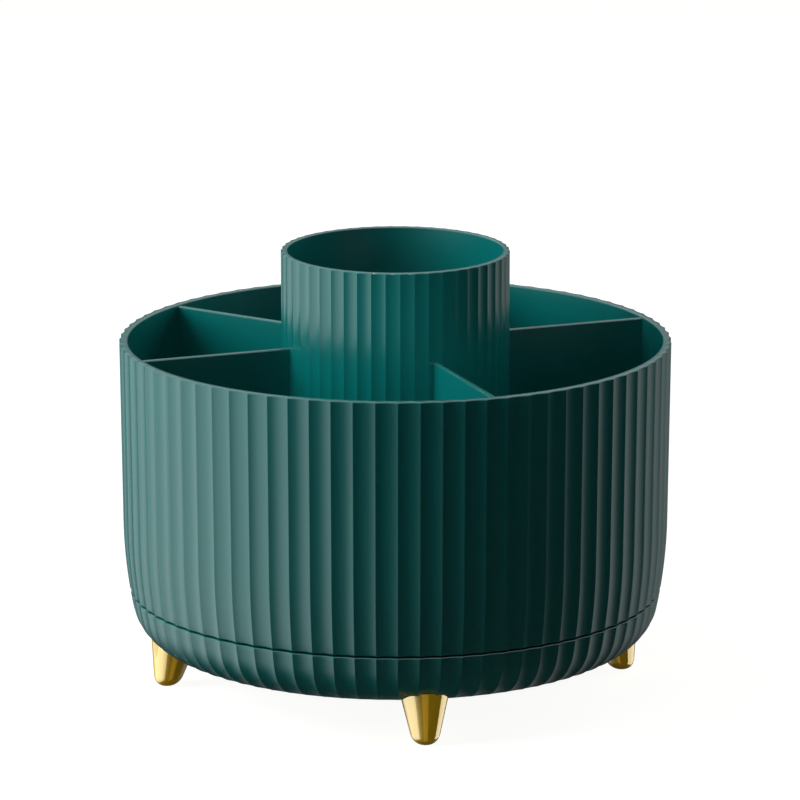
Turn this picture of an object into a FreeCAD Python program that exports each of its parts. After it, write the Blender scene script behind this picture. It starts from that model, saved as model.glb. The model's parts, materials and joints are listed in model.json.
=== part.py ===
"""Rotating desk caddy: a fluted tub with a centre cup and dividers turns above a base pan on four legs.

Millimetres, +Z up. The origin is on the table, under the axis of rotation. The front faces -Y.
"""
import FreeCAD, Part
import math
import os

Vector = FreeCAD.Vector
ORIGIN = Vector(0, 0, 0)
UP = Vector(0, 0, 1)

# Overall sizes
rim_diameter = 190.0            # tub rim, over the arrises between the flutes
rim_height = 121.5              # tub rim above the table
cup_rim_height = 152.5          # centre cup's rim above the table
leg_height = 15.0               # underside of the base pan above the table

# Outer outline, shared by the tub and the base pan: drafted wall, belly arc, corner arc
wall_draft = math.radians(0.63)
belly_radius = 170.0
corner_radius = 17.0
belly_end = math.radians(11.0)  # slope from the vertical where the belly meets the corner
corner_end = math.radians(76.0)  # slope where the flutes end at the underside
flute_slopes = (2.9, 33.0, 55.0)  # degrees from the vertical where a flute's straight strips meet
flute_count = 80
flute_depth = 0.48
flute_phase = 0.6               # degrees from the front to the first arris

# Seam between the turning tub and the standing base pan
base_height = 18.3              # base pan's underside to the seam
seam_gap = 0.8

# Tub
rim_wall = 3.0                  # arris to inside
tub_floor = 3.0
cove_height = 22.0              # sloping foot of the wall inside, behind the belly
cove_width = 3.6

# Centre cup
cup_diameter = 78.6             # over the arrises
cup_wall = 2.3                  # arris to inside
cup_floor = 2.4
cup_flute_count = 50
cup_flute_depth = 0.38
cup_flute_phase = 2.5           # degrees from the front to the first arris
cup_boss_diameter = 9.0
cup_boss_length = 8.0

# Dividers, each housed in grooves of the wall, the floor and the cup
divider_thickness = 2.0
divider_drop = 0.5              # top edge below the rim
divider_chamfer = 0.5
groove_depth = 0.9
groove_clearance = 0.05
first_divider = 21.0            # degrees from +X
dividers = {                    # node, and the compartment's span from it to the next divider
    "divider_right": 55.0,
    "divider_back_right": 70.0,
    "divider_back_left": 55.0,
    "divider_left": 90.0,
    "divider_front": 90.0,
}

# Glide pads on the base pan's pedestals, and the tub's runner above them
track_diameter = 84.0           # middle of the pedestals and the runner
track_width = 8.0
runner_height = 4.0             # runner below the tub floor
pad_count = 6
pad_width = 6.0                 # along the radius
pad_length = 12.0
pad_thickness = 2.5
pad_clearance = 0.2             # under the runner

# Pivot
post_diameter = 14.0
post_clearance = 0.05           # running fit in the bush
bush_wall = 2.0
bush_flange = 1.2
bush_flange_width = 2.5
hub_wall = 2.4
well_diameter = 34.0            # recess in the underside round the washer and screw
well_depth = 6.0
axial_play = 0.2
seat_clearance = 0.1            # round the bush in the hub and the cup's boss in the post
washer_diameter = 25.0
washer_thickness = 1.2
pivot_shank = 4.0
pivot_head_diameter = 8.0
pivot_head_height = 2.6
pivot_engagement = 7.0          # screw in the cup's boss
screw_clearance = 0.2           # through holes
thread_clearance = 0.05         # holes that hold a thread

# Base pan
base_wall = 3.0
base_rim_wall = 3.0             # arris to inside at the seam

# Ribs under the tub's floor, and from the base pan's hub to each pedestal
rib_count = 6                   # under the tub
rib_thickness = 1.6
rib_height = 2.4

# Legs
legs = {                        # node, and its place in degrees from +X
    "leg_front": 277.3,
    "leg_right": 7.3,
    "leg_back": 97.3,
    "leg_left": 187.3,
}
leg_sides = 18
leg_top_diameter = 15.8         # at the level of the underside
leg_foot_diameter = 8.7
leg_inset = 1.4                 # leg's centre inside the edge of the underside
leg_splay = 2.8                 # foot further out than the top
foot_round = 1.9
stud_diameter = 4.0             # over the corners
stud_sides = 12                 # also of the holes round the stud
stud_inset = 4.2                # stud's centre inside the edge of the underside
nut_width = 7.0                 # across the flats
nut_height = 3.2
stud_proud = 1.0                # stud above the nut

# Outline that follows from the sizes above
rim_radius = rim_diameter / 2
belly_drop = belly_radius * (math.sin(belly_end) - math.sin(wall_draft))
corner_drop = corner_radius * (math.sin(corner_end) - math.sin(belly_end))
belly_top = leg_height + corner_drop + belly_drop
belly_top_radius = rim_radius - (rim_height - belly_top) * math.tan(wall_draft)
belly_centre = (
    belly_top_radius - belly_radius * math.cos(wall_draft),
    belly_top + belly_radius * math.sin(wall_draft),
)
corner_centre = (
    belly_centre[0] + (belly_radius - corner_radius) * math.cos(belly_end),
    belly_centre[1] - (belly_radius - corner_radius) * math.sin(belly_end),
)
underside_radius = corner_centre[0] + corner_radius * math.cos(corner_end)

# Levels that follow from the sizes above
base_top = leg_height + base_height
tub_bottom = base_top + seam_gap
floor_top = tub_bottom + tub_floor
base_floor_top = corner_centre[1] - corner_radius + base_wall
runner_under = tub_bottom - runner_height
pedestal_top = runner_under - pad_clearance - pad_thickness
well_roof = leg_height + well_depth
bush_top = tub_bottom - rib_height - seam_gap
hub_top = bush_top - bush_flange
post_end = well_roof - axial_play
screw_seat = post_end - washer_thickness
slot_bottom = cup_diameter / 2 - cup_flute_depth - groove_depth
track_inner = (track_diameter - track_width) / 2
track_outer = (track_diameter + track_width) / 2
pad_border = (track_width - pad_width) / 2
leg_circle = underside_radius - leg_inset
stud_circle = underside_radius - stud_inset
beyond = 1.0                    # how far a cutting shape passes the face it opens


def outline(level):
    """Arris radius of the outer outline at a height."""
    if level >= belly_top:
        return rim_radius - (rim_height - level) * math.tan(wall_draft)
    if level >= corner_centre[1] - corner_radius * math.sin(belly_end):
        centre, radius = belly_centre, belly_radius
    else:
        centre, radius = corner_centre, corner_radius
    return centre[0] + math.sqrt(radius ** 2 - (centre[1] - level) ** 2)


def stations(high, low):
    """Levels between two heights where the strips of a flute end, top first."""
    levels = []
    for slope in map(math.radians, flute_slopes):
        on_belly = slope < belly_end
        centre = belly_centre if on_belly else corner_centre
        radius = belly_radius if on_belly else corner_radius
        levels.append(centre[1] - radius * math.sin(slope))
    return [high] + [level for level in levels if low < level < high] + [low]


def turned(shape, degrees):
    """Copy of a shape turned about the vertical axis."""
    copy = shape.copy()
    copy.rotate(ORIGIN, UP, degrees)
    return copy


def polar(shape, count, start=0.0):
    """Copies of a shape spread evenly round the vertical axis."""
    return [turned(shape, start + 360.0 * i / count) for i in range(count)]


def flute_edge(radius, depth, level, count):
    """Hollow arc of one flute, from arris to arris, in a level plane."""
    half = math.pi / count
    side = radius * math.sin(half)
    chord = radius * math.cos(half)
    arc = Part.Arc(Vector(chord, -side, level), Vector(radius - depth, 0, level), Vector(chord, side, level))
    return arc.toShape()


def sewn(faces):
    """Solid enclosed by faces that meet edge to edge."""
    skin = Part.Compound(faces)
    skin.sewShape(1e-4)
    solid = Part.Solid(skin.Shells[0])
    if solid.Volume < 0:
        solid.reverse()
    return solid


def fluted_solid(sections, depth, count, phase):
    """Closed solid with flutes all round, through (radius, level) sections from top to bottom."""
    edges = [flute_edge(radius, depth, level, count) for radius, level in sections]
    strips = Part.makeLoft([Part.Wire([edge]) for edge in edges], False, True).Faces
    first_hollow = 270.0 + phase + 180.0 / count
    faces = []
    for strip in strips:
        faces += polar(strip, count, first_hollow)
    for edge in (edges[0], edges[-1]):
        faces.append(Part.Face(Part.Wire(Part.__sortEdges__(polar(edge, count, first_hollow)))))
    return sewn(faces)


def fluted_body(high, low):
    """Solid inside the outer outline between two levels."""
    sections = [(outline(level), level) for level in stations(high, low)]
    return fluted_solid(sections, flute_depth, flute_count, flute_phase)


def polygon(corners):
    """Flat face with straight edges."""
    return Part.Face(Part.makePolygon(corners + corners[:1]))


def revolved(points):
    """Solid of revolution of a closed outline of (radius, height) points."""
    return polygon([Vector(radius, 0, height) for radius, height in points]).revolve(ORIGIN, UP, 360)


def ring(inner, outer, low, high):
    """Plain ring between two radii and two levels."""
    return revolved([(inner, low), (outer, low), (outer, high), (inner, high)])


def disc(radius, low, high):
    """Upright cylinder on the axis between two levels."""
    return Part.makeCylinder(radius, high - low, Vector(0, 0, low))


def prism(sides, radius, low, high, place):
    """Upright prism between two levels, a flat side outwards, its axis on +X at a distance from the origin."""
    angles = [math.pi * (2 * i + 1) / sides for i in range(sides)]
    corners = [Vector(place + radius * math.cos(angle), radius * math.sin(angle), low) for angle in angles]
    return polygon(corners).extrude(Vector(0, 0, high - low))


def slab(near, far, thickness, low, high):
    """Upright plate along +X, centred on the axis."""
    return Part.makeBox(far - near, thickness, high - low, Vector(near, -thickness / 2, low))


def divider_angles():
    """Each divider's node and its angle from +X."""
    angles = {}
    angle = first_divider
    for node, span in dividers.items():
        angles[node] = angle
        angle += span
    return angles


def tub_cavity(outset=0.0):
    """Space inside the tub down to its floor, or that space grown by an outset."""
    low = floor_top - outset
    top = rim_height + beyond
    inside = rim_radius - rim_wall + outset
    cove_top = low + cove_height
    return revolved([(0, low), (inside - cove_width, low), (inside, cove_top), (inside, top), (0, top)])


def outer_tub():
    """Fluted wall, floor, divider grooves, pivot post, ribs and the runner above the glide pads."""
    body = fluted_body(rim_height, tub_bottom)
    post_radius = post_diameter / 2
    into_floor = tub_bottom + beyond
    post = disc(post_radius, post_end, into_floor)
    runner = ring(track_inner, track_outer, runner_under, into_floor)
    rib_under = tub_bottom - rib_height
    rib = slab(post_radius - beyond, track_inner + beyond, rib_thickness, rib_under, into_floor)
    body = body.fuse([post, runner] + polar(rib, rib_count))
    width = divider_thickness + 2 * groove_clearance
    plate = slab(slot_bottom, rim_radius, width, floor_top - groove_depth, rim_height + beyond)
    housing = tub_cavity(groove_depth)
    cuts = [tub_cavity()] + [housing.common(turned(plate, angle)) for angle in divider_angles().values()]
    boss_end = floor_top - cup_boss_length
    cuts.append(disc(cup_boss_diameter / 2 + seat_clearance, boss_end, floor_top + beyond))
    cuts.append(disc(pivot_shank / 2 + screw_clearance, post_end - beyond, floor_top))
    return body.cut(cuts).removeSplitter()


def centre_cup():
    """Fluted cup with a slot for each divider and a boss under its floor for the pivot screw."""
    radius = cup_diameter / 2
    sections = [(radius, cup_rim_height), (radius, floor_top)]
    body = fluted_solid(sections, cup_flute_depth, cup_flute_count, cup_flute_phase)
    boss_end = floor_top - cup_boss_length
    boss = disc(cup_boss_diameter / 2, boss_end + seat_clearance, floor_top + beyond)
    width = divider_thickness + 2 * groove_clearance
    slot = slab(slot_bottom, radius + beyond, width, floor_top - beyond, rim_height)
    cuts = [disc(radius - cup_wall, floor_top + cup_floor, cup_rim_height + beyond)]
    cuts += [turned(slot, angle) for angle in divider_angles().values()]
    thread_end = boss_end + pivot_engagement + seat_clearance
    cuts.append(disc(pivot_shank / 2 + thread_clearance, boss_end, thread_end))
    return body.fuse(boss).cut(cuts).removeSplitter()


def divider(angle):
    """Radial plate with broken top edges, from the cup's slot to the groove in the wall."""
    top = rim_height - divider_drop
    low = floor_top - groove_depth
    plate = slab(slot_bottom + groove_clearance, rim_radius, divider_thickness, low, top)
    top_edges = [
        edge for edge in plate.Edges
        if edge.BoundBox.ZMin > top - divider_drop and edge.BoundBox.XLength > divider_thickness
    ]
    plate = plate.makeChamfer(divider_chamfer, top_edges)
    return turned(plate.common(tub_cavity(groove_depth - groove_clearance)), angle)


def glide_pads():
    """Slippery pads, one on each of the base pan's pedestals."""
    middle = track_diameter / 2
    near = middle - pad_width / 2
    pad = slab(near, middle + pad_width / 2, pad_length, pedestal_top, pedestal_top + pad_thickness)
    return Part.Compound(polar(pad, pad_count))


def base_pan(outside):
    """Hollow pan with hub, well, ribs out to the glide pads' pedestals and the holes for the leg studs."""
    inside = outline(base_top) - base_rim_wall
    inner_corner = (corner_radius - base_wall) * math.sqrt(2)
    foot = corner_centre[0] + inner_corner - (corner_centre[1] - base_floor_top)
    wall_low = corner_centre[1] - inner_corner + (inside - corner_centre[0])
    top = base_top + beyond
    floor = base_floor_top
    pan = outside.cut(revolved([(0, floor), (foot, floor), (inside, wall_low), (inside, top), (0, top)]))
    well_radius = well_diameter / 2
    bush_radius = post_diameter / 2 + bush_wall
    hub = revolved([
        (0, leg_height),
        (well_radius + hub_wall, leg_height),
        (well_radius + hub_wall, well_roof + hub_wall),
        (bush_radius + hub_wall, well_roof + hub_wall),
        (bush_radius + hub_wall, hub_top),
        (0, hub_top),
    ])
    low = leg_height + beyond
    pedestal = slab(track_inner, track_outer, pad_length + 2 * pad_border, low, pedestal_top)
    rib = slab(well_radius + beyond, track_inner + beyond, rib_thickness, low, floor + rib_height)
    stud_hole = stud_diameter / 2 + screw_clearance
    hole = prism(stud_sides, stud_hole, leg_height - beyond, floor + beyond, stud_circle)
    added = [hub] + polar(pedestal, pad_count) + polar(rib, pad_count)
    cuts = [disc(well_radius, leg_height - beyond, well_roof)]
    cuts.append(disc(bush_radius + seat_clearance, well_roof - beyond, hub_top + beyond))
    cuts += [turned(hole, angle) for angle in legs.values()]
    return pan.fuse(added).cut(cuts).removeSplitter()


def pivot_bush():
    """Flanged sleeve in the hub, in which the tub's post turns."""
    bore = post_diameter / 2 + post_clearance
    outer = post_diameter / 2 + bush_wall
    flange = outer + bush_flange_width
    return revolved([
        (bore, well_roof),
        (outer, well_roof),
        (outer, hub_top),
        (flange, hub_top),
        (flange, bush_top),
        (bore, bush_top),
    ])


def retaining_washer():
    """Washer clamped on the post's end, which keeps the tub on the base pan."""
    return ring(pivot_shank / 2 + screw_clearance, washer_diameter / 2, screw_seat, post_end)


def pivot_screw():
    """Screw from below through washer and post into the cup's boss."""
    shank = pivot_shank / 2
    head = pivot_head_diameter / 2
    tip = floor_top - cup_boss_length + pivot_engagement
    low = screw_seat - pivot_head_height
    return revolved([(0, tip), (shank, tip), (shank, screw_seat), (head, screw_seat), (head, low), (0, low)])


def leg_nuts():
    """One hexagon nut on each leg's stud, inside the base pan."""
    low = base_floor_top
    high = low + nut_height
    thread = prism(stud_sides, stud_diameter / 2 + thread_clearance, low, high, stud_circle)
    nut = prism(6, nut_width / math.sqrt(3), low, high, stud_circle).cut(thread)
    return Part.Compound([turned(nut, angle) for angle in legs.values()])


def leg_section(radius, level):
    """Corners of the many-sided leg at a level, on its splayed axis."""
    middle = leg_circle + leg_splay * (1 - level / leg_height)
    angles = [2 * math.pi * i / leg_sides for i in range(leg_sides)]
    return [Vector(middle + radius * math.cos(angle), radius * math.sin(angle), level) for angle in angles]


def leg(angle):
    """Splayed tapered leg with a broken foot edge and a stud, its top cut to the base pan's outside."""
    foot = leg_foot_diameter / 2
    growth = (leg_top_diameter / 2 - foot) / leg_height
    top = leg_height + corner_radius / 2
    sole = leg_section(foot - foot_round, 0)
    heel = leg_section(foot + growth * foot_round, foot_round)
    stem = leg_section(foot + growth * top, top)
    faces = [polygon(sole), polygon(stem)]
    for lower, upper in ((sole, heel), (heel, stem)):
        for i in range(leg_sides):
            faces.append(polygon([lower[i - 1], lower[i], upper[i], upper[i - 1]]))
    first_strip = stations(base_top, leg_height)[-2]
    rise = math.atan2(first_strip - leg_height, outline(first_strip) - underside_radius)
    edge = Vector(underside_radius, 0, leg_height)
    corner = Part.makeBox(rim_radius, rim_diameter, top, edge - Vector(0, rim_radius, 0))
    corner.rotate(edge, Vector(0, -1, 0), math.degrees(rise))
    pan = Part.makeBox(underside_radius, rim_diameter, top, Vector(0, -rim_radius, leg_height))
    body = sewn(faces).cut([corner, pan])
    stud_end = base_floor_top + nut_height + stud_proud
    stud = prism(stud_sides, stud_diameter / 2, leg_height - beyond, stud_end, stud_circle)
    return turned(body.fuse(stud), angle)


def assembly():
    """Every node of the caddy and its shape."""
    nodes = {
        "outer_tub": outer_tub(),
        "centre_cup": centre_cup(),
        "glide_pads": glide_pads(),
        "base_pan": base_pan(fluted_body(base_top, leg_height)),
        "pivot_bush": pivot_bush(),
        "retaining_washer": retaining_washer(),
        "pivot_screw": pivot_screw(),
        "leg_nuts": leg_nuts(),
    }
    for node, angle in divider_angles().items():
        nodes[node] = divider(angle)
    for node, angle in legs.items():
        nodes[node] = leg(angle)
    return nodes


os.makedirs("parts", exist_ok=True)
for node, shape in assembly().items():
    shape.exportStep(f"parts/{node}.step")
    print(node, len(shape.Solids), shape.isValid(), round(shape.Volume, 1))
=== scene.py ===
# %% [markdown]
# # A rotating desk caddy
# A round tub of dark green plastic stands on a base pan with four short gold-coloured legs and turns on it.
# The tub has a taller cup in its middle and loose divider plates between cup and wall. Hollow flutes run
# down the outside of the tub, over the bottom corner and under the pan. This lesson builds the visible skin
# of each piece around the CAD parts, gives every piece its finish, and lights and frames the whole as a
# product photograph.

# %% Load the CAD parts
import json
import math

import bmesh
import bpy
from mathutils import Matrix, Vector


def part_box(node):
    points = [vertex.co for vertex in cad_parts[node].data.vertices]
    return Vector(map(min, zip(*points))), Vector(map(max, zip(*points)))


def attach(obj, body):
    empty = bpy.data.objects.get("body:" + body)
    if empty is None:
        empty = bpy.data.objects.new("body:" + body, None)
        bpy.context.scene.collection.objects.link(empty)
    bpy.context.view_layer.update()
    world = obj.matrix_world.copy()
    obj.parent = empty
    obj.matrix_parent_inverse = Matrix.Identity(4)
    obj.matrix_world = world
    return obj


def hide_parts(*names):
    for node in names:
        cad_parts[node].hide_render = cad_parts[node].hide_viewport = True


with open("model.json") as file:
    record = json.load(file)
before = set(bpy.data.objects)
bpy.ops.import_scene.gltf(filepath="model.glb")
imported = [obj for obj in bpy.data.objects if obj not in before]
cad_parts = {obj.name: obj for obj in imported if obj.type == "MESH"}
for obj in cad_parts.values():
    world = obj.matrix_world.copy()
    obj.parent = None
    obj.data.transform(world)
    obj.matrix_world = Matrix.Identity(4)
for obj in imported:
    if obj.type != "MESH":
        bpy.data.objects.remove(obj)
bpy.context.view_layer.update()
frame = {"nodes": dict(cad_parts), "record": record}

# %% [markdown]
# ## Sizes
# The CAD parts say where everything is, so the main sizes are read from their boxes. What a box can't say,
# such as the radius of the bottom corner or the thickness of a wall, is written once, as the real size in
# millimetres, where it is first needed.

# %% Read the main sizes
MM = 0.001
tub_low, tub_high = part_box("outer_tub")
cup_low, cup_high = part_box("centre_cup")
pan_low, pan_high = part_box("base_pan")

rim_radius = tub_high.x
rim_level = tub_high.z
cup_rim_level = cup_high.z
underside_level = pan_low.z
pan_rim_level = pan_high.z

seam_gap = 0.8 * MM
floor_thickness = 3.0 * MM
tub_underside = pan_rim_level + seam_gap
tub_floor = tub_underside + floor_thickness
print("rim", round(rim_radius / MM, 2), "mm from the axis,", round(rim_level / MM, 2), "mm up")

# %% [markdown]
# ## The outline of the body
# Seen from the side the body is a nearly straight wall that leans in a little, a wide belly arc, and a
# tight corner arc that ends at the flat underside. It could be drawn freehand as a curve, but tub and pan
# share this outline across the seam, so it is worked out once from its radii and slopes. The arcs touch
# without a kink because each one starts where the last one ends, with its centre on the same normal.

# %% Work out the arcs of the outline
wall_draft = math.radians(0.63)
belly_radius = 170.0 * MM
corner_radius = 17.0 * MM
belly_slope = math.radians(11.0)
underside_slope = math.radians(76.0)

corner_drop = corner_radius * (math.sin(underside_slope) - math.sin(belly_slope))
belly_drop = belly_radius * (math.sin(belly_slope) - math.sin(wall_draft))
belly_level = underside_level + corner_drop + belly_drop
belly_top_radius = rim_radius - (rim_level - belly_level) * math.tan(wall_draft)
belly_centre = Vector((
    belly_top_radius - belly_radius * math.cos(wall_draft),
    0,
    belly_level + belly_radius * math.sin(wall_draft),
))
corner_centre = belly_centre + (belly_radius - corner_radius) * Vector((
    math.cos(belly_slope), 0, -math.sin(belly_slope)
))
print("the belly starts", round(belly_level / MM, 1), "mm up")


# %% Find the outline at the seam
def belly_slope_at(level):
    """Slope of the belly arc, from the vertical, at a level."""
    return math.asin((belly_centre.z - level) / belly_radius)


def outline_at(level):
    """Radius of the outline on the wall or the belly at a level."""
    if level > belly_level:
        return rim_radius - (rim_level - level) * math.tan(wall_draft)
    return belly_centre.x + belly_radius * math.cos(belly_slope_at(level))


# The tub's skirt reaches a little into the gap, so that the seam looks as narrow as the real one.
skirt_drop = 0.3 * MM
seam_slope_above = belly_slope_at(tub_underside - skirt_drop)
seam_slope_below = belly_slope_at(pan_rim_level)
print("the outline slopes", round(math.degrees(seam_slope_below), 1), "degrees at the seam")

# %% [markdown]
# ## Drawing an outline and spinning it
# A moulded round piece could be cut from a cylinder, but it is easier to make as a lathe would: draw half
# of its section as a chain of edges beside the axis, round the corners that the mould rounds, and spin the
# chain once round. Four small helpers draw the section. A line adds one edge and a chain several, an arc
# spins the last vertex about the arc's centre, and a vertex bevel rounds a corner.

# %% Helpers that draw a section
corner_segments = 4


def line_to(bm, start, radius, level):
    """Adds an edge from a vertex to a point of the section and returns the new vertex."""
    end = bm.verts.new((radius, 0, level))
    bm.edges.new((start, end))
    return end


def chain_to(bm, start, points):
    """Adds edges from a vertex through points of the section and returns the last vertex."""
    for radius, level in points:
        start = line_to(bm, start, radius, level)
    return start


def arc_to(bm, start, centre, angle, steps):
    """Spins a vertex about a centre in the plane of the section and returns the last vertex of the arc."""
    made = bmesh.ops.spin(bm, geom=[start], cent=centre, axis=(0, 1, 0), angle=angle, steps=steps)
    return made["geom_last"][0]


def round_corners(bm, corners, segments=corner_segments):
    """Rounds corners of the section, given as (vertex, radius) pairs, with a vertex bevel."""
    for corner, radius in corners:
        bmesh.ops.bevel(
            bm, geom=[corner], offset=radius, offset_type="OFFSET", affect="VERTICES", segments=segments,
            profile=0.5, material=-1,
        )


# %% Helpers that spin a section
full_turn = 2 * math.pi
merge_distance = 0.001 * MM


def lathe(bm, steps, angle=full_turn):
    """Spins the section round the upright axis, once round or through an angle."""
    bmesh.ops.spin(
        bm, geom=bm.verts[:] + bm.edges[:], cent=(0, 0, 0), axis=(0, 0, 1), angle=angle, steps=steps,
        use_merge=angle == full_turn,
    )


def close_skin(bm):
    """Merges the vertices that meet and turns all faces outwards."""
    bmesh.ops.remove_doubles(bm, verts=bm.verts, dist=merge_distance)
    bmesh.ops.recalc_face_normals(bm, faces=bm.faces)


# %% [markdown]
# ## Cutting the flutes
# Each flute is a shallow hollow, and two hollows meet in a thin ridge called an arris. A bump map could
# fake them, but only real geometry gives the scalloped rim and the broken seam line. One flute is made and
# then repeated, as a milling cutter would index round the mould. The section is spun through one flute in a
# few columns of vertices. The helper gathers the columns towards the two arrises, where the form turns
# quickly, and sinks those between by a parabola, which is as good as an arc on so shallow a hollow.

# %% Helper that makes a fluted skin
flute_columns = 10


def flute_round(bm, count, first_arris, sink):
    """Makes one flute from the section and repeats it. sink(radius, level) gives the full depth, or None."""
    pitch = full_turn / count
    lathe(bm, flute_columns, pitch)
    for vert in bm.verts:
        radius = math.hypot(vert.co.x, vert.co.y)
        depth = sink(radius, vert.co.z)
        if depth is None:
            continue
        across = 2 * math.atan2(vert.co.y, vert.co.x) / pitch - 1
        gathered = math.sin(across * math.pi / 2)
        hollow = 1 - gathered ** 2
        angle = (gathered + 1) * pitch / 2
        radius += depth[0] * hollow
        level = vert.co.z + depth[1] * hollow
        vert.co = Vector((radius * math.cos(angle), radius * math.sin(angle), level))
    bmesh.ops.spin(
        bm, geom=bm.verts[:] + bm.edges[:] + bm.faces[:], cent=(0, 0, 0), axis=(0, 0, 1),
        angle=full_turn - pitch, steps=count - 1, use_duplicate=True,
    )
    close_skin(bm)
    bmesh.ops.rotate(bm, cent=(0, 0, 0), matrix=Matrix.Rotation(first_arris, 3, "Z"), verts=bm.verts)


# %% [markdown]
# ## From mesh to piece
# A mesh alone is not yet a piece of the caddy. It needs an object and a body that carries it, and the CAD
# part that it stands for is hidden. Its finish comes later. Shading could be flat or smooth all over. A
# moulded piece has smooth faces and crisp edges, so everything is shaded smooth and the steeper edges are
# marked sharp.

# %% Helper that finishes a piece
crisp_edge = math.radians(40)


def finish_piece(bm, name, body, replaced):
    """Turns a bmesh into a smooth-shaded piece that rides on a body and hides the CAD node that it replaces.
    """
    mesh = bpy.data.meshes.new(name)
    bm.to_mesh(mesh)
    bm.free()
    mesh.shade_smooth()
    mesh.set_sharp_from_angle(angle=crisp_edge)
    piece = bpy.data.objects.new(name, mesh)
    bpy.context.scene.collection.objects.link(piece)
    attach(piece, body)
    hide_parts(replaced)
    print(name, "has", len(mesh.polygons), "faces")
    return piece


# %% [markdown]
# ## The tub
# The tub is one moulding: fluted wall, flat rim, floor, and under the floor a runner, ribs and a post that
# stay hidden. Wall and floor could be separate meshes, but one section that goes round all of it closes the
# skin by itself. Only vertices in the outer half of the wall are sunk, so the inside stays round. The ribs
# are plain slabs that reach a little into floor, post and runner.

# %% Sizes of the tub
# Angles about the axis are in degrees from +X, so the front is at 270.
front = 270.0
flute_count = 80
flute_depth = 0.62 * MM
arris_offset = 0.6
first_arris = math.radians(front + arris_offset)
rim_wall = 3.0 * MM
rim_round = 0.5 * MM
seam_round = 0.6 * MM
cove_height = 22.0 * MM
cove_width = 3.6 * MM
cove_round = 4.0 * MM
post_radius = 7.0 * MM
post_bore = 2.2 * MM
boss_recess_radius = 4.6 * MM
boss_recess_depth = 8.0 * MM
runner_inner = 38.0 * MM
runner_outer = 46.0 * MM
runner_height = 4.0 * MM

tub_inside = rim_radius - rim_wall
boss_recess_level = tub_floor - boss_recess_depth
runner_level = tub_underside - runner_height
print("inside of the tub", round(2 * tub_inside / MM, 1), "mm across")

# %% Draw the section of the tub
tub_belly_steps = 8

bm = bmesh.new()
lower_edge = bm.verts.new(belly_centre + belly_radius * Vector((
    math.cos(seam_slope_above), 0, -math.sin(seam_slope_above)
)))
belly_top = arc_to(bm, lower_edge, belly_centre, wall_draft - seam_slope_above, tub_belly_steps)
outer_edge = line_to(bm, belly_top, rim_radius, rim_level)
inner_edge = line_to(bm, outer_edge, tub_inside, rim_level)
cove_top = line_to(bm, inner_edge, tub_inside, tub_floor + cove_height)
cove_foot = line_to(bm, cove_top, tub_inside - cove_width, tub_floor)
runner_edge = chain_to(bm, cove_foot, (
    (boss_recess_radius, tub_floor),
    (boss_recess_radius, boss_recess_level),
    (post_bore, boss_recess_level),
    (post_bore, tub_low.z),
    (post_radius, tub_low.z),
    (post_radius, tub_underside),
    (runner_inner, tub_underside),
    (runner_inner, runner_level),
    (runner_outer, runner_level),
    (runner_outer, tub_underside),
))
bm.edges.new((runner_edge, lower_edge))
round_corners(bm, [
    (lower_edge, seam_round), (outer_edge, rim_round), (inner_edge, rim_round), (cove_top, cove_round),
    (cove_foot, cove_round),
])
print("the tub's section has", len(bm.verts), "points")

# %% Cut the flutes of the tub and add its ribs
rib_count = 6
rib_width = 1.6 * MM
rib_height = 2.4 * MM
rib_overlap = 1.0 * MM


def sink_tub(radius, level):
    """Hollows in the outer half of the tub's wall."""
    return (-flute_depth, 0) if radius > outline_at(level) - rim_wall / 2 else None


def slabs_round(bm, count, near, far, width, low, high):
    """Adds upright slabs that point away from the axis, evenly round it."""
    for i in range(count):
        slab = bmesh.ops.create_cube(bm, size=1.0)["verts"]
        bmesh.ops.scale(bm, vec=(far - near, width, high - low), verts=slab)
        bmesh.ops.translate(bm, vec=((near + far) / 2, 0, (low + high) / 2), verts=slab)
        turn = Matrix.Rotation(full_turn * i / count, 3, "Z")
        bmesh.ops.rotate(bm, cent=(0, 0, 0), matrix=turn, verts=slab)


flute_round(bm, flute_count, first_arris, sink_tub)
slabs_round(
    bm, rib_count, near=post_radius - rib_overlap, far=runner_inner + rib_overlap, width=rib_width,
    low=tub_underside - rib_height, high=tub_underside + rib_overlap,
)
tub = finish_piece(bm, "tub_shell", "caddy", "outer_tub")

# %% [markdown]
# ## The base pan
# Below a narrow dark seam the same flutes go on round the corner of the standing pan. Sinking them level,
# as on the wall, would leave them shallow under the corner. So they are sunk square to the surface, towards
# the centre of the corner arc, and run out at the flat underside. A round well in the underside holds the
# screw that keeps the tub on. Inside, slabs make the ribs and the pedestals of the glide pads.

# %% Sizes of the base pan
pan_rim_wall = 3.0 * MM
pan_thickness = 2.5 * MM
pan_foot_radius = 80.0 * MM
pan_wall_level = 26.0 * MM
well_radius = 17.0 * MM
well_depth = 6.0 * MM
hub_bore = 9.1 * MM
hub_radius = 11.4 * MM
hub_height = 16.0 * MM

pan_floor = underside_level + pan_thickness
pan_inside = outline_at(pan_rim_level) - pan_rim_wall
well_level = underside_level + well_depth
hub_level = underside_level + hub_height
print("inside of the pan", round(2 * pan_inside / MM, 1), "mm across")

# %% Draw the section of the base pan
pan_belly_steps = 3
corner_steps = 16

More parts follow.
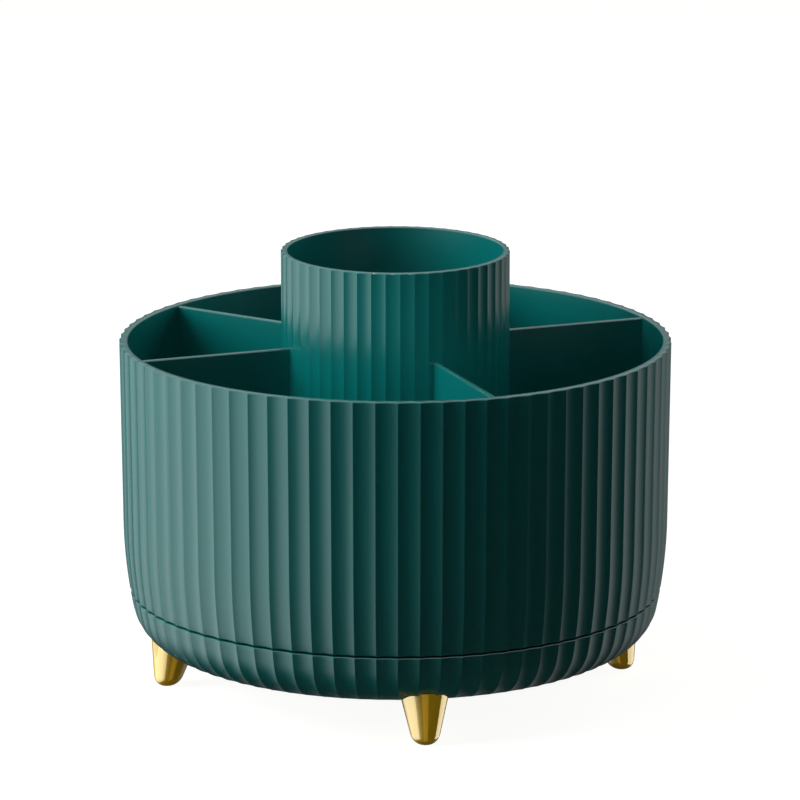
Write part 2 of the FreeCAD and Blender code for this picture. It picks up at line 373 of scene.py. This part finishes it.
bm = bmesh.new()
pan_edge = bm.verts.new(belly_centre + belly_radius * Vector((
    math.cos(seam_slope_below), 0, -math.sin(seam_slope_below)
)))
corner_top = arc_to(bm, pan_edge, belly_centre, belly_slope - seam_slope_below, pan_belly_steps)
underside_edge = arc_to(bm, corner_top, corner_centre, underside_slope - belly_slope, corner_steps)
well_edge = line_to(bm, underside_edge, well_radius, underside_level)
pan_inner_edge = chain_to(bm, well_edge, (
    (well_radius, well_level),
    (hub_bore, well_level),
    (hub_bore, hub_level),
    (hub_radius, hub_level),
    (hub_radius, pan_floor),
    (pan_foot_radius, pan_floor),
    (pan_inside, pan_wall_level),
    (pan_inside, pan_rim_level),
))
bm.edges.new((pan_inner_edge, pan_edge))
round_corners(bm, [(pan_edge, seam_round), (well_edge, rim_round), (underside_edge, rim_round)])
print("the pan's section has", len(bm.verts), "points")

# %% Cut the flutes of the base pan and add its ribs and pedestals
run_out_share = 0.25
pedestal_width = 14.0 * MM
pad_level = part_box("glide_pads")[0].z


def sink_pan(radius, level):
    """Hollows square to the outside of the pan, which run out at the underside."""
    if level > corner_centre.z:
        return (-flute_depth, 0) if radius > outline_at(level) - pan_rim_wall / 2 else None
    inward = Vector((corner_centre.x - radius, corner_centre.z - level))
    if radius < corner_centre.x or inward.length < corner_radius - rim_round:
        return None
    slope = math.atan2(inward.y, -inward.x)
    share_left = (underside_slope - slope) / (underside_slope - belly_slope)
    return inward.normalized() * flute_depth * max(0.0, min(1.0, share_left / run_out_share))


flute_round(bm, flute_count, first_arris, sink_pan)
slabs_round(
    bm, rib_count, near=runner_inner, far=runner_outer, width=pedestal_width,
    low=pan_floor - rib_overlap, high=pad_level,
)
slabs_round(
    bm, rib_count, near=well_radius + rib_overlap, far=runner_inner + rib_overlap, width=rib_width,
    low=pan_floor - rib_overlap, high=pan_floor + rib_height,
)
pan = finish_piece(bm, "pan_shell", "base", "base_pan")

# %% [markdown]
# ## The centre cup
# The cup is a straight fluted tube with a floor and, below it, a boss with a blind hole for the screw. Its
# flutes are narrower and shallower than those of the tub, and its rim is thinner. A cylinder with an inset
# could make it, but the same three steps as before, section, spin and flutes, give the boss and the rounded
# floor as well.

# %% Draw the section of the cup
cup_radius = 39.3 * MM
cup_wall = 2.3 * MM
cup_floor = 2.4 * MM
cup_floor_round = 3.0 * MM
cup_rim_round = 0.45 * MM
boss_radius = 4.5 * MM
thread_radius = 2.05 * MM
thread_end_depth = 1.0 * MM

cup_inside = cup_radius - cup_wall
thread_end = tub_floor - thread_end_depth
bm = bmesh.new()
cup_foot = bm.verts.new((cup_radius, 0, tub_floor))
cup_outer_edge = line_to(bm, cup_foot, cup_radius, cup_rim_level)
cup_inner_edge = line_to(bm, cup_outer_edge, cup_inside, cup_rim_level)
cup_floor_corner = line_to(bm, cup_inner_edge, cup_inside, tub_floor + cup_floor)
line_to(bm, cup_floor_corner, 0, tub_floor + cup_floor)
boss_foot = chain_to(bm, bm.verts.new((0, 0, thread_end)), (
    (thread_radius, thread_end),
    (thread_radius, cup_low.z),
    (boss_radius, cup_low.z),
    (boss_radius, tub_floor),
))
bm.edges.new((boss_foot, cup_foot))
round_corners(bm, [
    (cup_outer_edge, cup_rim_round), (cup_inner_edge, cup_rim_round), (cup_floor_corner, cup_floor_round),
])
print("the cup's section has", len(bm.verts), "points")

# %% Cut the flutes of the cup
cup_flute_count = 50
cup_flute_depth = 0.42 * MM
cup_arris_offset = 2.5
cup_first_arris = math.radians(front + cup_arris_offset)


def sink_cup(radius, level):
    """Hollows in the outer half of the cup's wall."""
    return (-cup_flute_depth, 0) if radius > cup_radius - cup_wall / 2 else None


flute_round(bm, cup_flute_count, cup_first_arris, sink_cup)
cup = finish_piece(bm, "cup_shell", "caddy", "centre_cup")

# %% [markdown]
# ## The dividers
# Five plates stand between cup and wall, pushed into grooves. A plate could be drawn as an outline and
# extruded, but it is nearly a box, so it starts as a cube scaled to size. Its upper long edges are rounded
# with a bevel, and a cut takes off the outer corner where the wall slopes in to the floor.

# %% Model the dividers
divider_angles = {
    "divider_right": 21.0,
    "divider_back_right": 76.0,
    "divider_back_left": 146.0,
    "divider_left": 201.0,
    "divider_front": 291.0,
}
divider_thickness = 2.0 * MM
divider_round = 0.5 * MM
groove_depth = 0.85 * MM
cup_slot_depth = 1.2 * MM
divider_inner = cup_radius - cup_slot_depth
divider_outer = tub_inside + groove_depth
divider_low = tub_floor - groove_depth

dividers = []
for node, angle in divider_angles.items():
    divider_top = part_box(node)[1].z
    bm = bmesh.new()
    bmesh.ops.create_cube(bm, size=1.0)
    size = Vector((divider_outer - divider_inner, divider_thickness, divider_top - divider_low))
    bmesh.ops.scale(bm, vec=size, verts=bm.verts)
    middle = Vector(((divider_outer + divider_inner) / 2, 0, (divider_top + divider_low) / 2))
    bmesh.ops.translate(bm, vec=middle, verts=bm.verts)
    long_edges = [
        edge for edge in bm.edges if all(vert.co.z > middle.z for vert in edge.verts)
        and abs(edge.verts[0].co.x - edge.verts[1].co.x) > divider_thickness
    ]
    bmesh.ops.bevel(
        bm, geom=long_edges, offset=divider_round, offset_type="OFFSET", affect="EDGES",
        segments=corner_segments, profile=0.5, material=-1,
    )
    cut = bmesh.ops.bisect_plane(
        bm, geom=bm.verts[:] + bm.edges[:] + bm.faces[:], clear_outer=True,
        plane_co=(divider_outer, 0, divider_low + cove_height), plane_no=(cove_height, 0, -cove_width),
    )
    cut_edges = [item for item in cut["geom_cut"] if isinstance(item, bmesh.types.BMEdge)]
    bmesh.ops.holes_fill(bm, edges=cut_edges)
    turn = Matrix.Rotation(math.radians(angle), 3, "Z")
    bmesh.ops.rotate(bm, cent=(0, 0, 0), matrix=turn, verts=bm.verts)
    name = node.replace("divider", "divider_plate")
    dividers.append(finish_piece(bm, name, "caddy", node))

# %% [markdown]
# ## The legs
# Each leg is a plated metal cone with a rounded foot that leans outwards. A cone primitive would have a
# sharp foot, and tilting it would tilt the sole. So a sloping line with a rounded foot corner is spun about
# the leg's own axis, closed at both ends, sheared so that the foot moves outwards while the sole stays
# flat, and then carried to its place. Its top ends inside the pan, so the flutes scallop the joint.

# %% Sizes of the legs
leg_angles = {"leg_front": 277.3, "leg_right": 7.3, "leg_back": 97.3, "leg_left": 187.3}
leg_top_radius = 7.9 * MM
leg_foot_radius = 4.25 * MM
leg_sole_radius = leg_foot_radius / 3
leg_foot_round = 3.4 * MM
leg_foot_segments = 10
leg_inset = 1.4 * MM
leg_splay = 2.8 * MM
leg_reach = 18.8 * MM
leg_segments = 64

underside_radius = corner_centre.x + corner_radius * math.cos(underside_slope)
leg_circle = underside_radius - leg_inset
leg_growth = (leg_top_radius - leg_foot_radius) / underside_level
leg_shear = Matrix.Identity(4)
leg_shear[0][2] = -leg_splay / underside_level
leg_shear[0][3] = leg_circle + leg_splay
print("the legs stand", round(leg_circle / MM, 1), "mm from the axis")

# %% Model the legs
gold_legs = []
for node, angle in leg_angles.items():
    bm = bmesh.new()
    sole = bm.verts.new((leg_sole_radius, 0, 0))
    heel = line_to(bm, sole, leg_foot_radius, 0)
    line_to(bm, heel, leg_foot_radius + leg_growth * leg_reach, leg_reach)
    round_corners(bm, [(heel, leg_foot_round)], leg_foot_segments)
    lathe(bm, leg_segments)
    close_skin(bm)
    bmesh.ops.holes_fill(bm, edges=bm.edges)
    bmesh.ops.recalc_face_normals(bm, faces=bm.faces)
    turn = Matrix.Rotation(math.radians(angle), 4, "Z")
    bmesh.ops.transform(bm, matrix=turn @ leg_shear, verts=bm.verts)
    gold_legs.append(finish_piece(bm, f"gold_{node}", "base", node))

# %% [markdown]
# ## The pivot screw
# One screw, in the well under the pan, holds washer, tub and cup together. Its head has a rounded edge and
# a cross recess. A boolean with a cross could cut the recess, but it leaves an untidy mesh. Here the head
# ends in one flat face, cuts across it mark out the cross, and the marked faces are pushed in and drawn
# together, as the punch that makes a real recess tapers.

# %% Turn the screw
shank_radius = 2.0 * MM
head_height = 2.6 * MM
head_round = 0.9 * MM
head_end_radius = 2.6 * MM
screw_segments = 48

screw_low, screw_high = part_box("pivot_screw")
head_radius = screw_high.x
seat_level = screw_low.z + head_height
bm = bmesh.new()
head_edge = chain_to(bm, bm.verts.new((0, 0, screw_high.z)), (
    (shank_radius, screw_high.z),
    (shank_radius, seat_level),
    (head_radius, seat_level),
    (head_radius, screw_low.z),
))
line_to(bm, head_edge, head_end_radius, screw_low.z)
round_corners(bm, [(head_edge, head_round)])
lathe(bm, screw_segments)
close_skin(bm)
head_end = bmesh.ops.holes_fill(bm, edges=bm.edges)["faces"]
print("the head ends in", len(head_end), "face")

# %% Punch the cross recess
recess_width = 1.2 * MM
recess_length = 4.4 * MM
recess_depth = 1.5 * MM
recess_taper = 0.55

marked = head_end + list(head_end[0].edges) + list(head_end[0].verts)
for across in (Vector((1, 0, 0)), Vector((0, 1, 0))):
    for width in (-recess_length, -recess_width, recess_width, recess_length):
        cut = bmesh.ops.bisect_plane(bm, geom=marked, plane_co=across * width / 2, plane_no=across)
        marked = cut["geom"]
cross = []
for face in marked:
    if isinstance(face, bmesh.types.BMFace):
        near, far = sorted(abs(value) for value in face.calc_center_median().xy)
        if near < recess_width / 2 and far < recess_length / 2:
            cross.append(face)
pushed = bmesh.ops.extrude_face_region(bm, geom=cross)["geom"]
recess_floor = [item for item in pushed if isinstance(item, bmesh.types.BMVert)]
bmesh.ops.delete(bm, geom=cross, context="FACES")
bmesh.ops.translate(bm, vec=(0, 0, recess_depth), verts=recess_floor)
bmesh.ops.scale(bm, vec=(recess_taper, recess_taper, 1), verts=recess_floor)
bmesh.ops.recalc_face_normals(bm, faces=bm.faces)
screw = finish_piece(bm, "cross_head_screw", "caddy", "pivot_screw")

# %% [markdown]
# ## Finishes
# A material starts from what the real one is. Colours are written as sRGB hex values, as a colour picker
# shows them, and one function turns them into the linear values that shaders use. Nodes could be added one
# line at a time. One helper that adds a node with its settings and links keeps each finish short.


# %% Helpers for materials
def linear(hex_colour):
    """Turns an sRGB hex colour into linear red, green, blue and alpha."""
    channels = [int(hex_colour[i:i + 2], 16) / 255 for i in (1, 3, 5)]
    return [c / 12.92 if c <= 0.04045 else ((c + 0.055) / 1.055) ** 2.4 for c in channels] + [1.0]


def add_node(tree, kind, settings=None, inputs=None):
    """Adds a node to a tree, sets its properties, and gives its inputs a value or a link."""
    node = tree.nodes.new(kind)
    for name, value in (settings or {}).items():
        setattr(node, name, value)
    for name, value in (inputs or {}).items():
        if isinstance(value, bpy.types.NodeSocket):
            tree.links.new(value, node.inputs[name])
        else:
            node.inputs[name].default_value = value
    return node


# A colour mix takes its two colours at inputs 6 and 7 and gives the result at output 2.
MIX_A = 6
MIX_B = 7
MIX_RESULT = 2


def new_material(name):
    """A material with an empty node tree."""
    material = bpy.data.materials.new(name)
    material.use_nodes = True
    material.node_tree.nodes.clear()
    return material


def per_metre(size_mm):
    """Scale of a noise whose grain has a size in millimetres, on coordinates in metres."""
    return 1000.0 / size_mm


# %% [markdown]
# ## Moulded green plastic
# The body is ABS from a mould with a fine satin finish. It reflects softly, with no clear image of the
# room. One flat colour would look like paint on a screen, so the colour varies a little where the melt
# flowed, and the satin is not quite even. The mould's grain is finer than a tenth of a millimetre, too fine
# to show, so its bump is drawn several times coarser and very shallow. ABS has an IOR of about 1.54. This
# one is shinier, and 1.8 matches it.


# %% Make the green plastic
def satin_abs():
    """Dark green ABS with a satin mould finish."""
    # To the eye: a deep, even green under wide, soft reflections that follow the flutes.
    material = new_material("satin_green_abs")
    tree = material.node_tree
    place = add_node(tree, "ShaderNodeTexCoord").outputs["Object"]
    flow = add_node(tree, "ShaderNodeTexNoise", inputs={
        "Vector": place, "Scale": per_metre(45), "Detail": 3.0,
    })
    colour = add_node(tree, "ShaderNodeMix", {"data_type": "RGBA"}, {
        "Factor": flow.outputs["Fac"], MIX_A: linear("#066E6C"), MIX_B: linear("#077572"),
    })
    patch = add_node(tree, "ShaderNodeTexNoise", inputs={
        "Vector": place, "Scale": per_metre(9), "Detail": 4.0,
    })
    rough = add_node(tree, "ShaderNodeMapRange", inputs={
        "Value": patch.outputs["Fac"], "From Min": 0.3, "From Max": 0.7, "To Min": 0.20, "To Max": 0.22,
    })
    grain = add_node(tree, "ShaderNodeTexNoise", inputs={
        "Vector": place, "Scale": per_metre(0.5), "Detail": 2.0,
    })
    bump = add_node(tree, "ShaderNodeBump", inputs={
        "Height": grain.outputs["Fac"], "Strength": 0.06, "Distance": 0.02 * MM,
    })
    shader = add_node(tree, "ShaderNodeBsdfPrincipled", inputs={
        "Base Color": colour.outputs[MIX_RESULT], "Roughness": rough.outputs["Result"], "IOR": 1.8,
        "Normal": bump.outputs["Normal"],
    })
    add_node(tree, "ShaderNodeOutputMaterial", inputs={"Surface": shader.outputs["BSDF"]})
    return material


# %% [markdown]
# ## Gold-coloured plating
# The legs are polished metal under a thin yellow lacquer. A plain metal would turn black wherever the room
# is dark. On the real legs the lacquer spreads some light, which keeps their dark side a deep yellow. So a
# sharp metal mirror is mixed, about half and half, with a matt yellow. Faint polishing streaks break up the
# mirror.

# %% Make the gold plating
lacquer_share = 0.52


def gold_plating():
    """Polished gold-coloured plating under lacquer."""
    # To the eye: crisp cream stripes of mirrored light beside a deep olive gold.
    material = new_material("lacquered_gold_plating")
    tree = material.node_tree
    place = add_node(tree, "ShaderNodeTexCoord").outputs["Object"]
    stretch = add_node(tree, "ShaderNodeMapping", inputs={"Vector": place, "Scale": (1.0, 1.0, 0.1)})
    streak = add_node(tree, "ShaderNodeTexNoise", inputs={
        "Vector": stretch.outputs["Vector"], "Scale": per_metre(1.5), "Detail": 4.0,
    })
    rough = add_node(tree, "ShaderNodeMapRange", inputs={
        "Value": streak.outputs["Fac"], "From Min": 0.3, "From Max": 0.7, "To Min": 0.02, "To Max": 0.06,
    })
    tint = add_node(tree, "ShaderNodeMix", {"data_type": "RGBA"}, {
        "Factor": streak.outputs["Fac"], MIX_A: linear("#F6E2AE"), MIX_B: linear("#FAE8BA"),
    })
    mirror = add_node(tree, "ShaderNodeBsdfPrincipled", inputs={
        "Base Color": tint.outputs[MIX_RESULT], "Metallic": 1.0, "Roughness": rough.outputs["Result"],
    })
    lacquer = add_node(tree, "ShaderNodeBsdfDiffuse", inputs={"Color": linear("#FFCC20")})
    both = add_node(tree, "ShaderNodeMixShader", inputs={
        0: lacquer_share, 1: mirror.outputs["BSDF"], 2: lacquer.outputs[0],
    })
    add_node(tree, "ShaderNodeOutputMaterial", inputs={"Surface": both.outputs[0]})
    return material


# %% [markdown]
# ## Steel and acetal
# The screw, the washer and the nuts are zinc-plated steel with a dull turned surface. The bush and the
# glide pads are natural white acetal, a slippery plastic. Both are seen only from below or with the caddy
# apart, so each has one noise and no more: the zinc's spangle changes the steel's shine, and a faint cloud
# tints the acetal.


# %% Make the steel and the acetal
def zinc_steel():
    """Zinc-plated steel, turned and slightly dull."""
    # To the eye: a cool pale grey with blurred, slightly uneven highlights.
    material = new_material("zinc_plated_steel")
    tree = material.node_tree
    place = add_node(tree, "ShaderNodeTexCoord").outputs["Object"]
    spangle = add_node(tree, "ShaderNodeTexNoise", inputs={
        "Vector": place, "Scale": per_metre(0.8), "Detail": 4.0,
    })
    rough = add_node(tree, "ShaderNodeMapRange", inputs={
        "Value": spangle.outputs["Fac"], "From Min": 0.3, "From Max": 0.7, "To Min": 0.24, "To Max": 0.36,
    })
    tint = add_node(tree, "ShaderNodeMix", {"data_type": "RGBA"}, {
        "Factor": spangle.outputs["Fac"], MIX_A: linear("#B9BCC0"), MIX_B: linear("#CDD0D2"),
    })
    shader = add_node(tree, "ShaderNodeBsdfPrincipled", inputs={
        "Base Color": tint.outputs[MIX_RESULT], "Metallic": 1.0, "Roughness": rough.outputs["Result"],
    })
    add_node(tree, "ShaderNodeOutputMaterial", inputs={"Surface": shader.outputs["BSDF"]})
    return material


def white_acetal():
    """Natural white acetal, smooth and faintly cloudy."""
    # To the eye: a milky white with a low, waxy sheen.
    material = new_material("natural_acetal")
    tree = material.node_tree
    place = add_node(tree, "ShaderNodeTexCoord").outputs["Object"]
    cloud = add_node(tree, "ShaderNodeTexNoise", inputs={
        "Vector": place, "Scale": per_metre(6), "Detail": 3.0,
    })
    tint = add_node(tree, "ShaderNodeMix", {"data_type": "RGBA"}, {
        "Factor": cloud.outputs["Fac"], MIX_A: linear("#DAD9D2"), MIX_B: linear("#E4E3DD"),
    })
    shader = add_node(tree, "ShaderNodeBsdfPrincipled", inputs={
        "Base Color": tint.outputs[MIX_RESULT], "Roughness": 0.35, "IOR": 1.48,
    })
    add_node(tree, "ShaderNodeOutputMaterial", inputs={"Surface": shader.outputs["BSDF"]})
    return material


# %% [markdown]
# ## A finish for every piece
# On the real caddy each part is moulded, plated or left bare before it is put together. A material could be
# made for each piece, but the pieces of one plastic come from one batch, so they share it. The new skins get
# theirs as listed. The CAD parts, of which bush, pads, washer and nuts still show, get the one that the
# record names.

# %% Give every piece its finish
finishes = {
    "green_plastic": satin_abs(),
    "gold_plating": gold_plating(),
    "steel": zinc_steel(),
    "white_acetal": white_acetal(),
}
finished = {
    "green_plastic": [tub, pan, cup] + dividers,
    "gold_plating": gold_legs,
    "steel": [screw],
}
for slot, pieces in finished.items():
    for piece in pieces:
        piece.data.materials.append(finishes[slot])
    print(slot, "on", len(pieces), "new pieces")
for subpart in frame["record"]["subparts"]:
    node = frame["nodes"][subpart["node"]]
    node.data.materials.clear()
    node.data.materials.append(finishes[subpart["material_slot"]])
print(len(finishes), "finishes on", len(frame["nodes"]), "CAD parts")

# %% [markdown]
# ## The studio floor
# To the camera the floor is pale and plain. It could be a white sheet that is lit until it is white, but
# that much light would wash out the caddy. So it is a grey sheet that glows for the camera alone, and it
# still takes the caddy's shadow. Reflections look past it into the room, and it casts no shadow of its own,
# so the lamps that hang below it reach the legs.

# %% Build the floor
camera_glow = 0.96
floor_radius = 6.0
floor_segments = 64

pale_floor = new_material("pale_floor")
tree = pale_floor.node_tree
path = add_node(tree, "ShaderNodeLightPath")
glow = add_node(tree, "ShaderNodeMath", {"operation": "MULTIPLY"}, {
    0: path.outputs["Is Camera Ray"], 1: camera_glow,
})
shine = add_node(tree, "ShaderNodeEmission", inputs={
    "Color": linear("#FDFDFB"), "Strength": glow.outputs[0],
})
matte = add_node(tree, "ShaderNodeBsdfDiffuse", inputs={"Color": linear("#8C8C8A")})
surface = add_node(tree, "ShaderNodeAddShader", inputs={0: matte.outputs[0], 1: shine.outputs[0]})
add_node(tree, "ShaderNodeOutputMaterial", inputs={"Surface": surface.outputs[0]})

floor_mesh = bpy.data.meshes.new("studio_floor")
bm = bmesh.new()
bmesh.ops.create_circle(bm, cap_ends=True, segments=floor_segments, radius=floor_radius)
bm.to_mesh(floor_mesh)
bm.free()
floor_mesh.materials.append(pale_floor)
floor = bpy.data.objects.new("studio_floor", floor_mesh)
floor.visible_glossy = False
floor.visible_shadow = False
bpy.context.scene.collection.objects.link(floor)
print("floor", 2 * floor_radius, "m across")

# %% [markdown]
# ## The room
# A product photograph of a dark glossy thing shows what stands round it more than it shows its own colour.
# Panels could be modelled as planes, but they would get in the way of other views. So the world itself is
# shaded as a photographer would lay out the room: a tall white panel on the left that fades towards the
# front, a dimmer one behind on the right, grey behind, a dark room in front, and a white ceiling that
# lights up rims and edges. Each shade belongs to a direction about the upright axis, counted from the
# front, with positive angles to the right.

# %% Shade the room round the upright axis
panel_shades = (
    (-180, 0.10), (-165, 0.13), (-150, 0.14), (-135, 0.60), (-118, 1.25), (-90, 1.15),
    (-62, 1.05), (-45, 0.66), (-36, 0.34), (-27, 0.13), (-10, 0.04), (10, 0.005),
    (80, 0.005), (100, 0.08), (113, 0.30), (130, 0.40), (150, 0.25), (180, 0.10),
)

world = bpy.data.worlds.new("studio")
bpy.context.scene.world = world
world.use_nodes = True
tree = world.node_tree
tree.nodes.clear()
direction = add_node(tree, "ShaderNodeTexCoord").outputs["Generated"]
apart = add_node(tree, "ShaderNodeSeparateXYZ", inputs={"Vector": direction})
ahead = add_node(tree, "ShaderNodeMath", {"operation": "MULTIPLY"}, {0: apart.outputs["Y"], 1: -1.0})
angle = add_node(tree, "ShaderNodeMath", {"operation": "ARCTAN2"}, {
    0: apart.outputs["X"], 1: ahead.outputs[0],
})
share_of_turn = add_node(tree, "ShaderNodeMapRange", inputs={
    "Value": angle.outputs[0], "From Min": -math.pi, "From Max": math.pi,
})
panels = add_node(tree, "ShaderNodeValToRGB", inputs={"Fac": share_of_turn.outputs["Result"]})
while len(panels.color_ramp.elements) < len(panel_shades):
    panels.color_ramp.elements.new(1.0)
for stop, (degrees, shade) in zip(panels.color_ramp.elements, panel_shades):
    stop.position = (degrees + 180) / 360
    stop.color = (shade, shade, shade, 1.0)
print(len(panel_shades), "shades round the room")

# %% [markdown]
# ## Bench, ceiling and backdrop
# Below, the panels fade into a dark bench. Above, mirrored rays see the ceiling. Heights are those of a
# direction of length one. The camera sees plain white everywhere. Light that falls softly on the caddy
# takes only a share of the room, because lamps give the rest and cast better shadows.

# %% Add the bench, the ceiling and the backdrop
bench_foot = -0.90
bench_edge = -0.40
ceiling_edge = 0.10
ceiling_full = 0.50
soft_share = 0.22

path = add_node(tree, "ShaderNodeLightPath")
mirrored = add_node(tree, "ShaderNodeMath", {"operation": "MAXIMUM"}, {
    0: path.outputs["Is Glossy Ray"], 1: path.outputs["Is Transmission Ray"],
})
above_bench = add_node(tree, "ShaderNodeMapRange", {"interpolation_type": "SMOOTHSTEP"}, {
    "Value": apart.outputs["Z"], "From Min": bench_foot, "From Max": bench_edge,
})
walls = add_node(tree, "ShaderNodeMix", {"data_type": "RGBA"}, {
    "Factor": above_bench.outputs["Result"], MIX_A: linear("#262420"), MIX_B: panels.outputs["Color"],
})
overhead = add_node(tree, "ShaderNodeMapRange", {"interpolation_type": "SMOOTHSTEP"}, {
    "Value": apart.outputs["Z"], "From Min": ceiling_edge, "From Max": ceiling_full,
})
ceiling = add_node(tree, "ShaderNodeMath", {"operation": "MULTIPLY"}, {
    0: overhead.outputs["Result"], 1: mirrored.outputs[0],
})
room = add_node(tree, "ShaderNodeMix", {"data_type": "RGBA"}, {
    "Factor": ceiling.outputs[0], MIX_A: walls.outputs[MIX_RESULT], MIX_B: linear("#FFFFFF"),
})
share = add_node(tree, "ShaderNodeMapRange", inputs={
    "Value": mirrored.outputs[0], "To Min": soft_share, "To Max": 1.0,
})
indoors = add_node(tree, "ShaderNodeBackground", inputs={
    "Color": room.outputs[MIX_RESULT], "Strength": share.outputs["Result"],
})
backdrop = add_node(tree, "ShaderNodeBackground", inputs={"Color": linear("#FDFDFB"), "Strength": 1.0})
seen = add_node(tree, "ShaderNodeMixShader", inputs={
    0: path.outputs["Is Camera Ray"], 1: indoors.outputs[0], 2: backdrop.outputs[0],
})
add_node(tree, "ShaderNodeOutputWorld", inputs={"Surface": seen.outputs[0]})
print("the world has", len(tree.nodes), "nodes")

# %% [markdown]
# ## Lamps
# The lamps give the soft light and the shadows. Sun lamps would cut hard shadows, so large softboxes are
# used. They shine through the panels of the room, and reflections show the panels and not the lamps. A key
# softbox stands on the left, a weaker one behind on the right, and one hangs above and lights the inside.


# %% Place the softboxes
def softbox(name, place, target, width, height, radiance):
    """A rectangular lamp that faces a target and whose face is as bright as radiance, where 1 is white."""
    lamp = bpy.data.lights.new(name, "AREA")
    lamp.shape = "RECTANGLE"
    lamp.size = width
    lamp.size_y = height
    lamp.energy = radiance * math.pi * width * height
    box = bpy.data.objects.new(name, lamp)
    box.location = place
    box.rotation_euler = (Vector(target) - Vector(place)).to_track_quat("-Z", "Y").to_euler()
    box.visible_glossy = False
    bpy.context.scene.collection.objects.link(box)
    print(name, "gives", round(lamp.energy, 2), "W")
    return box


body_middle = (0, 0, rim_level / 2)
box_size = 0.9
softbox("key_softbox", (-1.2, -0.20, 0.7), body_middle, box_size, box_size, radiance=6.2)
softbox("right_softbox", (1.0, 0.70, 0.55), body_middle, box_size, box_size, radiance=2.2)
softbox("top_softbox", (-0.2, -0.10, 1.3), body_middle, box_size, box_size, radiance=1.2)

# %% [markdown]
# ## A spot on the cup
# Small parts of a product often get a light of their own. A softbox would light the tub as well, so a spot
# with a narrow beam, like a lamp in a snoot, picks out the cup above the rim of the tub.

# %% Place the spot
spot_distance = 1.6
spot_rise = math.radians(35)
spot_reach = 31.0 * MM
spot_target = Vector((0, -cup_radius, (rim_level + cup_rim_level) / 2))

spot = bpy.data.lights.new("cup_spot", "SPOT")
spot.spot_size = 2 * math.atan(spot_reach / spot_distance)
spot.spot_blend = 0.8
spot.shadow_soft_size = 20.0 * MM
spot.energy = 38.0
snoot = bpy.data.objects.new("cup_spot", spot)
snoot.location = spot_target + spot_distance * Vector((0, -math.cos(spot_rise), math.sin(spot_rise)))
snoot.rotation_euler = (spot_target - snoot.location).to_track_quat("-Z", "Y").to_euler()
bpy.context.scene.collection.objects.link(snoot)
print("the spot's beam is", round(math.degrees(spot.spot_size), 1), "degrees wide")

# %% [markdown]
# ## Lights for the legs
# Polished legs show mostly what they mirror, here a bright stripe on either side and a golden one between.
# They look down past the floor, because they taper, so two strip lights and a gold card hang below it. A
# softbox low in front lights their lacquer. Any of these would spoil the plastic, so light linking keeps
# them to the legs.

# %% Light the legs
leg_softbox = softbox(
    "leg_softbox", (0.35, -1.0, 0.2), (0, 0, 0), width=0.5, height=0.3, radiance=3.2,
)
left_strip = softbox(
    "left_strip", (-0.4, 0, -0.275), (0, 0, -0.275), width=0.94, height=0.29, radiance=0.7,
)
right_strip = softbox(
    "right_strip", (0.4, 0.2, -0.22), (0, 0.2, -0.22), width=0.56, height=0.20, radiance=1.35,
)
gold_card = softbox(
    "gold_card", (0.03, -0.38, -0.24), (0, -0.08, 0), width=0.20, height=0.36, radiance=0.30,
)
gold_card.data.color = linear("#FFCC5A")[:3]

legs_only = bpy.data.collections.new("legs_only")
for piece in gold_legs:
    legs_only.objects.link(piece)
for stripe in (left_strip, right_strip, gold_card):
    stripe.visible_glossy = True
    stripe.visible_diffuse = False
for lamp in (leg_softbox, left_strip, right_strip, gold_card):
    lamp.light_linking.receiver_collection = legs_only
print(len(bpy.data.lights), "lamps in all")

# %% [markdown]
# ## The camera
# The photograph was taken from far away with a long lens, a little above the rim, so the ellipses of the
# rim are flat and upright lines hardly converge. A closer camera with a shorter lens would show more of the
# floor of the tub and bend the outline. The camera looks along +Y at a point near the axis, below the rim.

# %% Place the camera
camera_distance = 1.9
camera_elevation = math.radians(13.68)
aim = Vector((1.62 * MM, 0, 99.3 * MM))
focal_pixels = 5504.0
frame_pixels = 800.0

camera_data = bpy.data.cameras.new("camera")
camera_data.sensor_width = 36.0
camera_data.lens = focal_pixels / frame_pixels * camera_data.sensor_width
camera = bpy.data.objects.new("camera", camera_data)
camera.location = aim + camera_distance * Vector((0, -math.cos(camera_elevation), math.sin(camera_elevation)))
camera.rotation_euler = (aim - camera.location).to_track_quat("-Z", "Y").to_euler()
bpy.context.scene.collection.objects.link(camera)
bpy.context.scene.camera = camera
bpy.context.scene.view_settings.view_transform = "Standard"
print("lens", round(camera_data.lens, 1), "mm")
